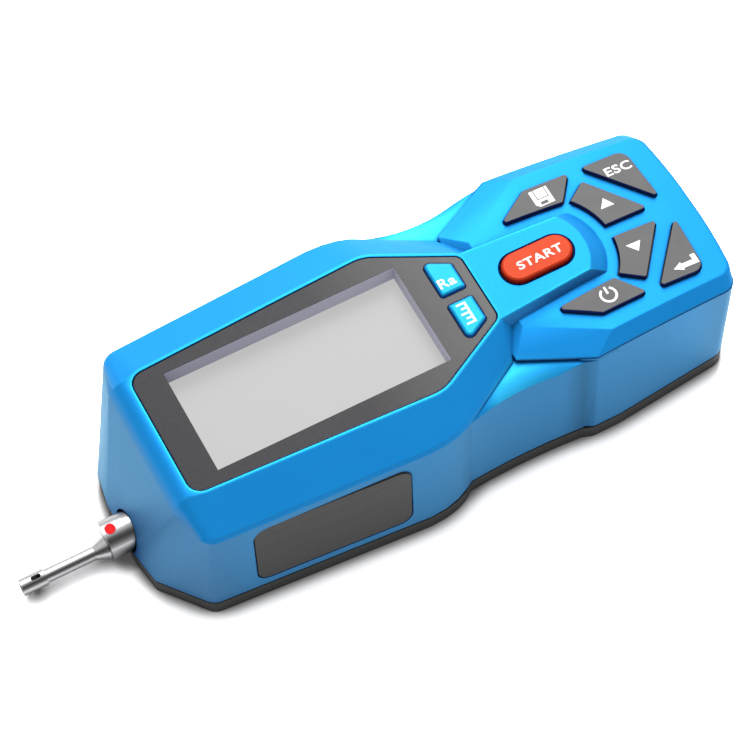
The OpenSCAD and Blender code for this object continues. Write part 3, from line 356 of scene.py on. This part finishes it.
# Painted reflections: greys round a polished rod, from its lower near edge to its upper far one
ROD_REFLECTION_GREYS = (
    (0.0, 0.05), (0.12, 0.16), (0.23, 0.28), (0.35, 0.08), (0.43, 0.030),
    (0.51, 0.07), (0.60, 0.30), (0.72, 0.40), (0.90, 0.30), (1.0, 0.06),
)
ROD_FAR_EDGE = (0.0, 0.895, 0.446)


def polished_steel():
    """Steel rods and the pickup: painted reflections, bright above and with a dark band along the near
    side.
    """
    finish = Finish("steel", 0.26, metallic=1.0)
    lines, round_the_part = 9000.0, 90.0
    marks = finish.noise(1.0, 2.0, along=(lines, round_the_part, round_the_part))
    # Painted reflections in bands, by how far each face turns towards the rod's upper far edge.
    stops = [(place, (grey, grey, grey * 1.02)) for place, grey in ROD_REFLECTION_GREYS]
    painted_reflections = finish.ramp(finish.facing(ROD_FAR_EDGE), *stops)
    scratched = finish.ramp(marks, (0.25, (0.05, 0.05, 0.052)), (0.75, (0.25, 0.25, 0.255)))
    finish.colour(finish.mix(finish.span(marks, 0.0, 1.0, 0.01, 0.05), painted_reflections, scratched))
    finish.roughen(marks, 0.24, 0.28)
    finish.relief(marks, 0.01, 0.02)
    return finish


def panel_finish():
    """Display panel: painted light makes it darker in front than behind, on its face and on the paler
    walls in the window's well.
    """
    finish = Finish("panel", 0.5, specular=0.1, edge=0.2)
    front, rear = -58.0, 18.0
    # Painted light: both tones grow lighter from front to rear.
    along = finish.between("X", front, rear)
    face = finish.ramp(
        along, (0.0, (0.0105, 0.0100, 0.0118)), (0.55, (0.0135, 0.0132, 0.0146)),
        (1.0, (0.052, 0.051, 0.052)))
    well = finish.ramp(along, (0.0, (0.24, 0.24, 0.30)), (1.0, (0.36, 0.36, 0.43)))
    finish.colour(finish.mix(finish.facing_up(), well, face))
    fine = finish.noise(2800.0, 3.0)
    finish.roughen(fine, 0.46, 0.56)
    finish.relief(fine, 0.05, 0.03)
    return finish


def display_finish():
    """Display at rest: a faint grid of dark cells with a painted glow, so that it looks evenly pale and
    unshaded.
    """
    finish = Finish("display", 0.4, specular=0.1)
    cells = finish.cells(
        (0.35, 0.35), 0.03,
        (0.0203, 0.0203, 0.0203), (0.0200, 0.0200, 0.0201), (0.0193, 0.0193, 0.0196))
    cells.offset = 0.0
    finish.colour(cells.outputs["Color"])
    # Painted glow: the display is no lamp; its glow stands in for even light on it.
    finish.glow(cells.outputs["Color"], 24.8)
    finish.roughen(finish.noise(900.0), 0.39, 0.41)
    return finish


def plate_finish():
    """Side plate: dark, with fine lines along its length, and painted light that makes it a little
    lighter towards the rear.
    """
    finish = Finish("plate", 0.45, specular=0.1, edge=0.2)
    lines = finish.noise(1.0, 3.0, along=(60.0, 60.0, 2600.0))
    front, rear = -50.0, -14.0
    along = finish.between("X", front, rear)
    # Painted light: a little lighter towards the rear.
    tone = finish.ramp(along, (0.0, (0.020, 0.019, 0.020)), (1.0, (0.026, 0.025, 0.025)))
    dark = finish.ramp(lines, (0.2, (0.016, 0.016, 0.017)), (0.8, (0.023, 0.022, 0.023)))
    weight = finish.span(lines, 0.0, 1.0, 0.1, 0.35)
    finish.colour(finish.mix(weight, tone, dark))
    finish.roughen(lines, 0.40, 0.52)
    finish.relief(lines, 0.05, 0.03)
    return finish


def base_finish():
    """Base: dark grained plastic, with painted shade along the seam under the shell."""
    finish = Finish("base", 0.55, specular=0.1, edge=0.3)
    drift = finish.noise(70.0, 2.0)
    band = finish.ramp(
        drift, (NOISE_LOW, (0.0205, 0.0200, 0.0202)), (NOISE_HIGH, (0.0230, 0.0224, 0.0226)))
    # Painted shade: near black along the seam under the shell.
    seam_shade = finish.ramp(
        drift, (NOISE_LOW, (0.0020, 0.0020, 0.0022)), (NOISE_HIGH, (0.0026, 0.0026, 0.0028)))
    seam_foot, seam_top = 3.8, 4.4
    finish.colour(finish.mix(finish.between("Z", seam_foot, seam_top), band, seam_shade))
    fine = finish.noise(2000.0, 4.0)
    finish.roughen(fine, 0.51, 0.60)
    finish.relief(fine, 0.16, 0.04)
    return finish


def board_finish():
    """Circuit board: solder resist with paler tracks."""
    finish = Finish("board", 0.4, coat=0.3)
    tracks = finish.cells(
        (6.0, 1.2), 0.22, (0.015, 0.11, 0.045), (0.018, 0.13, 0.052), (0.03, 0.20, 0.085))
    finish.colour(tracks.outputs["Color"])
    finish.roughen(finish.noise(1500.0), 0.35, 0.5)
    finish.relief(tracks.outputs["Fac"], 0.1, 0.03)
    return finish


def thread_finish():
    """Lead screw: a bright bar with the ridges of its thread, and painted shade in its grooves."""
    finish = Finish("thread", 0.25, metallic=1.0)
    ridge_scale = 50.0
    wave = finish.add("ShaderNodeTexWave", Scale=ridge_scale, Distortion=0.0)
    wave.bands_direction = "X"
    finish.link(finish.coords.outputs["Object"], wave.inputs["Vector"])
    ridges = wave.outputs["Fac"]
    # Painted shade: darker in the grooves of the thread than on its crests.
    finish.colour(finish.ramp(ridges, (0.2, (0.35, 0.35, 0.37)), (0.8, (0.74, 0.75, 0.77))))
    finish.roughen(ridges, 0.2, 0.35)
    finish.relief(ridges, 0.8, 0.2)
    return finish


def floor_finish():
    """Pale paper lit from below, with painted shadow close to what stands on it."""
    finish = Finish("floor", 0.6, specular=0.2)
    near = finish.span(finish.openness(5.0), 0.5, 0.97)
    # Painted shadow: the paper darkens close to what stands on it.
    paper_and_shadow = finish.ramp(
        near, (0.0, (0.09, 0.09, 0.092)), (0.3, (0.33, 0.33, 0.334)),
        (0.65, (0.75, 0.75, 0.754)), (1.0, (0.97, 0.97, 0.97)))
    finish.colour(paper_and_shadow)
    finish.glow(paper_and_shadow, 0.38)
    fibre = finish.noise(900.0, 4.0)
    finish.roughen(fibre, 0.55, 0.65)
    finish.relief(fibre, 0.02, 0.05)
    return finish


def make_finishes():
    """The finish of each material slot, and of the pieces that have one of their own."""
    return {
        "shell_blue": shell_finish(),
        "base_dark": base_finish(),
        "panel_dark": panel_finish(),
        "display_glass": display_finish(),
        "plate_dark": plate_finish(),
        # Each key's second colour is painted shade for its upright faces.
        "key_grey": key_finish("grey_key", (0.057, 0.057, 0.058), (0.006, 0.014, 0.075)),
        "key_red": key_finish("red_key", (0.28, 0.024, 0.003), (0.15, 0.006, 0.002)),
        "key_cyan": key_finish("cyan_key", (0.003, 0.240, 0.36), (0.003, 0.05, 0.20)),
        "board_green": board_finish(),
        "part_black": moulded("black_part", (0.030, 0.030, 0.034), 0.5, strength=0.12),
        "battery_wrap": moulded("wrap", (0.055, 0.17, 0.40), 0.3, grain=900.0, strength=0.1),
        "frame_metal": turned_metal("milled", (0.58, 0.59, 0.61), 0.38, lines=900.0, strength=0.12),
        "steel": polished_steel(),
        "brass": turned_metal("brass", (0.76, 0.54, 0.22), 0.25),
        "dot_red": moulded(
            "enamel", (0.50, 0.003, 0.004), 0.4, strength=0.02, spread=0.04, specular=0.05),
        "jewel": moulded("jewel", (0.12, 0.006, 0.012), 0.12, strength=0.01, coat=0.5),
        "diamond": moulded("diamond", (0.80, 0.75, 0.60), 0.1, strength=0.01, coat=0.5),
        "thread": thread_finish(),
        # Painted shade: a near-black ring for the gap round the START key.
        "ring_shade": moulded("ring_shade", (0.002, 0.002, 0.016), 0.6, spread=0.1, specular=0.0),
        "print_white": moulded(
            "print", (0.34, 0.34, 0.34), 0.5, grain=4000.0, strength=0.03, spread=0.02),
    }


def paint(piece, finish):
    piece.data.materials.clear()
    piece.data.materials.append(finish.material)


# Mesh helpers

# Angles between faces, in degrees: up to the first they count as one face,
# and past the second their edge stays sharp
FLAT_ANGLE = 0.5
SHARP_ANGLE = 24.0


def even_out(piece, sharp=SHARP_ANGLE):
    """Shades a faceted piece as the smooth moulding it stands for; edges past sharp degrees stay."""
    for polygon in piece.data.polygons:
        polygon.use_smooth = True
    weld = piece.modifiers.new("weld", "WELD")
    weld.merge_threshold = WELD_REACH
    flat = piece.modifiers.new("flat", "DECIMATE")
    flat.decimate_type = "DISSOLVE"
    flat.angle_limit = math.radians(FLAT_ANGLE)
    split = piece.modifiers.new("split", "EDGE_SPLIT")
    split.split_angle = math.radians(sharp)
    normals = piece.modifiers.new("normals", "WEIGHTED_NORMAL")
    normals.mode = "FACE_AREA"
    normals.weight = 100


def evaluated_mesh(obj):
    """A new mesh of a text, or of an object with its modifiers applied."""
    bpy.context.view_layer.update()
    depsgraph = bpy.context.evaluated_depsgraph_get()
    return bpy.data.meshes.new_from_object(obj.evaluated_get(depsgraph))


def finished_mesh(name, made):
    """A mesh from a bmesh, with its faces turned outwards."""
    bmesh.ops.recalc_face_normals(made, faces=made.faces)
    mesh = bpy.data.meshes.new(name)
    made.to_mesh(mesh)
    made.free()
    return mesh


def add_loop(made, points):
    """Vertices at points in millimetres."""
    return [made.verts.new(Vector(point) * MM) for point in points]


def join_loops(made, first, second):
    """A band of faces between two loops with as many vertices each."""
    for i in range(len(first)):
        j = (i + 1) % len(first)
        made.faces.new((first[i], first[j], second[j], second[i]))


def add_prism(made, foot, top):
    """A closed solid between two outlines with as many points each."""
    foot = add_loop(made, foot)
    top = add_loop(made, top)
    made.faces.new(foot)
    made.faces.new(top)
    join_loops(made, foot, top)


def surface(node):
    """A function that gives the height of a node's top at x and y, in millimetres."""
    mesh = nodes[node].data
    tree = BVHTree.FromPolygons([v.co for v in mesh.vertices], [p.vertices for p in mesh.polygons])
    above = 100.0

    def height(x, y):
        place = tree.ray_cast(Vector((x, y, above)) * MM, Vector((0, 0, -1)))[0]
        return place.z / MM

    return height


# Shell. Where the waist meets the keypad end, its walls are cut back to these lines, in millimetres:
# place along X, half width at the foot and half width under the deck

WALL_FOOT_Z, WALL_TOP_Z = 4.7, 32.7
CUT_FOOT_Z, CUT_TOP_Z = 4.2, 32.35
CUT_HALF_WIDTH = 30.0
WALL_LINES = (
    (20.0, 27.30, 25.80),
    (23.0, 25.79, 24.25),
    (30.3, 26.23, 24.73),
    (32.9, 27.14, 25.64),
    (38.9, 27.14, 25.25),
)
SHELL_SHARP_ANGLE = 17.5


def outside_walls(side):
    """All that lies outside these walls, below the deck, on the side of +Y or of -Y."""

    def outline(z):
        share = (z - WALL_FOOT_Z) / (WALL_TOP_Z - WALL_FOOT_Z)
        inner = [(x, foot + (top - foot) * share) for x, foot, top in WALL_LINES]
        outer = [(inner[-1][0], CUT_HALF_WIDTH), (inner[0][0], CUT_HALF_WIDTH)]
        return [(x, side * y, z) for x, y in inner + outer]

    made = bmesh.new()
    add_prism(made, outline(CUT_FOOT_Z), outline(CUT_TOP_Z))
    return add_object("outside_walls", finished_mesh("outside_walls", made))


def add_shell():
    """The moulded shell, with a crease over the full height where the waist meets the keypad end."""
    welded = bmesh.new()
    welded.from_mesh(nodes["upper_shell"].data)
    bmesh.ops.remove_doubles(welded, verts=welded.verts, dist=WELD_REACH)
    shell = add_object("case_shell", finished_mesh("case_shell", welded))
    blocks = [outside_walls(side) for side in (1, -1)]
    for block in blocks:
        cut = shell.modifiers.new("cut", "BOOLEAN")
        cut.operation = "DIFFERENCE"
        cut.solver = "EXACT"
        cut.object = block
    cut_mesh = evaluated_mesh(shell)
    shell.modifiers.clear()
    shell.data = cut_mesh
    for block in blocks:
        bpy.data.objects.remove(block)
    paint(shell, finishes["shell_blue"])
    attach(shell, "case")
    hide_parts("upper_shell")
    even_out(shell, SHELL_SHARP_ANGLE)


# Dark ring round the START key, painted shade for the gap round it, in millimetres: the key's ends along
# X and half width, how far the ring's edges lie from the key, and how far it stands above and below the
# shell's top

START_ENDS, START_HALF = (23.8, 40.6), 3.8
RING_SHADE_INNER, RING_SHADE_OUTER = 0.34, 0.60
RING_SHADE_RISE, RING_SHADE_SINK = 0.05, 0.3


def stadium(grow, steps=24):
    """Outline of the START key, grown all round."""
    radius = START_HALF + grow
    points = []
    for centre, start in ((START_ENDS[1] - START_HALF, -90), (START_ENDS[0] + START_HALF, 90)):
        for i in range(steps + 1):
            turn = math.radians(start + 180 * i / steps)
            points.append((centre + radius * math.cos(turn), radius * math.sin(turn)))
    return points


def add_start_ring_shade():
    """Thin dark ring on the shell round the START key: painted shade for the gap round the key."""
    height = surface("upper_shell")
    inner, outer = stadium(RING_SHADE_INNER), stadium(RING_SHADE_OUTER)
    tops = [height(x, y) for x, y in outer]
    made = bmesh.new()

    def loop(outline, lift):
        return add_loop(made, [(x, y, z + lift) for (x, y), z in zip(outline, tops)])

    loops = [
        loop(inner, -RING_SHADE_SINK), loop(inner, RING_SHADE_RISE),
        loop(outer, RING_SHADE_RISE), loop(outer, -RING_SHADE_SINK)]
    for first, second in zip(loops, loops[1:] + loops[:1]):
        join_loops(made, first, second)
    ring_shade = add_object("start_ring_shade", finished_mesh("start_ring_shade", made))
    paint(ring_shade, finishes["ring_shade"])
    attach(ring_shade, "case")


# Printed legends, in millimetres

PRINT_RISE = 0.03
PRINT_SINK = 0.02
LETTER_SPACING = 1.08


def add_print(key, mesh):
    """Gives a printed legend its finish and lets it ride on its key."""
    legend = add_object(mesh.name, mesh)
    paint(legend, finishes["print_white"])
    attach(legend, key + "_button")


def legend_name(key):
    return "legend_" + key.removesuffix("_arrow")


def print_shapes(key, *outlines):
    """Printed shapes on a key's top, each a closed outline of x and y."""
    height = surface(key + "_key")
    made = bmesh.new()
    for outline in outlines:
        tops = [height(x, y) for x, y in outline]
        foot = [(x, y, z - PRINT_SINK) for (x, y), z in zip(outline, tops)]
        top = [(x, y, z + PRINT_RISE) for (x, y), z in zip(outline, tops)]
        add_prism(made, foot, top)
    add_print(key, finished_mesh(legend_name(key), made))


def print_words(key, words, centre, size, weight):
    """Printed letters on a key's top, fitted to a width and a height."""
    curve = bpy.data.curves.new(key, "FONT")
    curve.body = words
    curve.space_character = LETTER_SPACING
    curve.offset = weight
    curve.extrude = 0.5
    text = add_object(key, curve)
    mesh = evaluated_mesh(text)
    mesh.name = legend_name(key)
    bpy.data.objects.remove(text)
    height = surface(key + "_key")
    spans = []
    for i in range(2):
        places = [vertex.co[i] for vertex in mesh.vertices]
        spans.append((min(places), max(places)))
    for vertex in mesh.vertices:
        shares = [(vertex.co[i] - low) / (high - low) - 0.5 for i, (low, high) in enumerate(spans)]
        x, y = (centre[i] + shares[i] * size[i] for i in range(2))
        lift = PRINT_RISE if vertex.co.z > 0 else -PRINT_SINK
        vertex.co = Vector((x, y, height(x, y) + lift)) * MM
    add_print(key, mesh)


def rectangle(x0, y0, x1, y1):
    return [(x0, y0), (x1, y0), (x1, y1), (x0, y1)]


def arc_band(centre, inner, outer, start, end, steps=28):
    """Closed outline of a ring's part between two angles in degrees."""

    def point(radius, share):
        turn = math.radians(start + (end - start) * share)
        return centre[0] + radius * math.cos(turn), centre[1] + radius * math.sin(turn)

    shares = [i / steps for i in range(steps + 1)]
    return [point(outer, s) for s in shares] + [point(inner, s) for s in reversed(shares)]


def comb(x, first, last, teeth=5):
    """A comb with teeth towards -X, long and short by turns."""
    spine, half, overlap = 0.55, 0.24, 0.05
    long_tooth, short_tooth = 1.75, 1.15
    outlines = [rectangle(x, last - half, x + spine, first + half)]
    for i in range(teeth):
        y = first + (last - first) * i / (teeth - 1)
        length = short_tooth if i % 2 else long_tooth
        outlines.append(rectangle(x - length, y - half, x + overlap, y + half))
    return outlines


def power_sign(x, y, radius=2.05, line=0.55):
    """A ring that is open at the top, with a bar in the opening; its centre is at x and y."""
    opening = 32
    bar_foot, bar_rise = 0.25, 0.05
    return [
        arc_band((x, y), radius - line, radius, 90 + opening, 450 - opening),
        rectangle(x - line / 2, y + bar_foot, x + line / 2, y + radius + bar_rise)]


def bent_arrow(x, y):
    """An arrow that comes down and points to -X, with its tip at x and y."""
    barb, shaft, head, length, rise = 1.1, 0.6, 2.25, 6.3, 1.9
    inner = x + length - 2 * shaft
    return [
        (x, y), (x + head, y + barb), (x + head, y + shaft), (inner, y + shaft), (inner, y + rise),
        (x + length, y + rise), (x + length, y - shaft), (x + head, y - shaft), (x + head, y - barb)]


def disk_sign(x, y, side=4.45):
    """A diskette with its lower corner at x and y: body, label and shutter, parted by thin gaps."""
    cut, gap = 0.75, 0.22
    label_left, label_right = x + 1.2, x + 3.65
    label_foot = y + 2.0
    shutter_left, shutter_right = x + 1.25, x + 3.05
    slot_foot, slot_top = y + 0.3, y + 1.1
    split = label_foot - gap
    return [
        [(x, y + cut), (x + cut, y), (shutter_left, y), (shutter_left, split),
         (label_left - gap, split), (label_left - gap, y + side), (x, y + side)],
        rectangle(shutter_left, y, shutter_right, slot_foot),
        rectangle(shutter_left, slot_top, shutter_right, split),
        rectangle(shutter_right, y, x + side, split),
        rectangle(label_left, label_foot, label_right, y + side),
        rectangle(label_right + gap, split, x + side, y + side)]


def add_legends():
    print_words("start", "START", (32.85, -0.15), (10.95, 2.15), 0.022)
    print_words("escape", "ESC", (60.8, 13.65), (6.5, 2.3), 0.022)
    print_words("parameter", "Ra", (12.15, 3.95), (4.0, 2.45), 0.018)
    print_shapes("trace", *comb(12.65, -2.4, -7.4))
    print_shapes("up_arrow", [(51.75, 5.6), (55.15, 5.6), (53.6, 8.05)])
    print_shapes("down_arrow", [(51.7, -5.1), (53.65, -7.5), (55.4, -5.1)])
    print_shapes("enter", bent_arrow(58.0, -15.0))
    print_shapes("power", *power_sign(41.95, -14.3))
    print_shapes("save", *disk_sign(39.45, 12.1))


def add_floor(half=3.0):
    mesh = bpy.data.meshes.new("floor")
    corners = [(x, y, 0.0) for x, y in rectangle(-half, -half, half, half)]
    mesh.from_pydata(corners, [], [(0, 1, 2, 3)])
    floor = add_object("floor", mesh)
    paint(floor, floor_finish())


add_camera()
add_lights()

finishes = make_finishes()
for entry in frame["record"]["subparts"]:
    own = "thread" if entry["node"] == "lead_screw" else entry["material_slot"]
    paint(nodes[entry["node"]], finishes[own])

add_shell()
for name in ("base_tray", "display_panel", "nameplate", *(key + "_key" for key in KEYS)):
    even_out(nodes[name])

add_start_ring_shade()
add_legends()
add_floor()
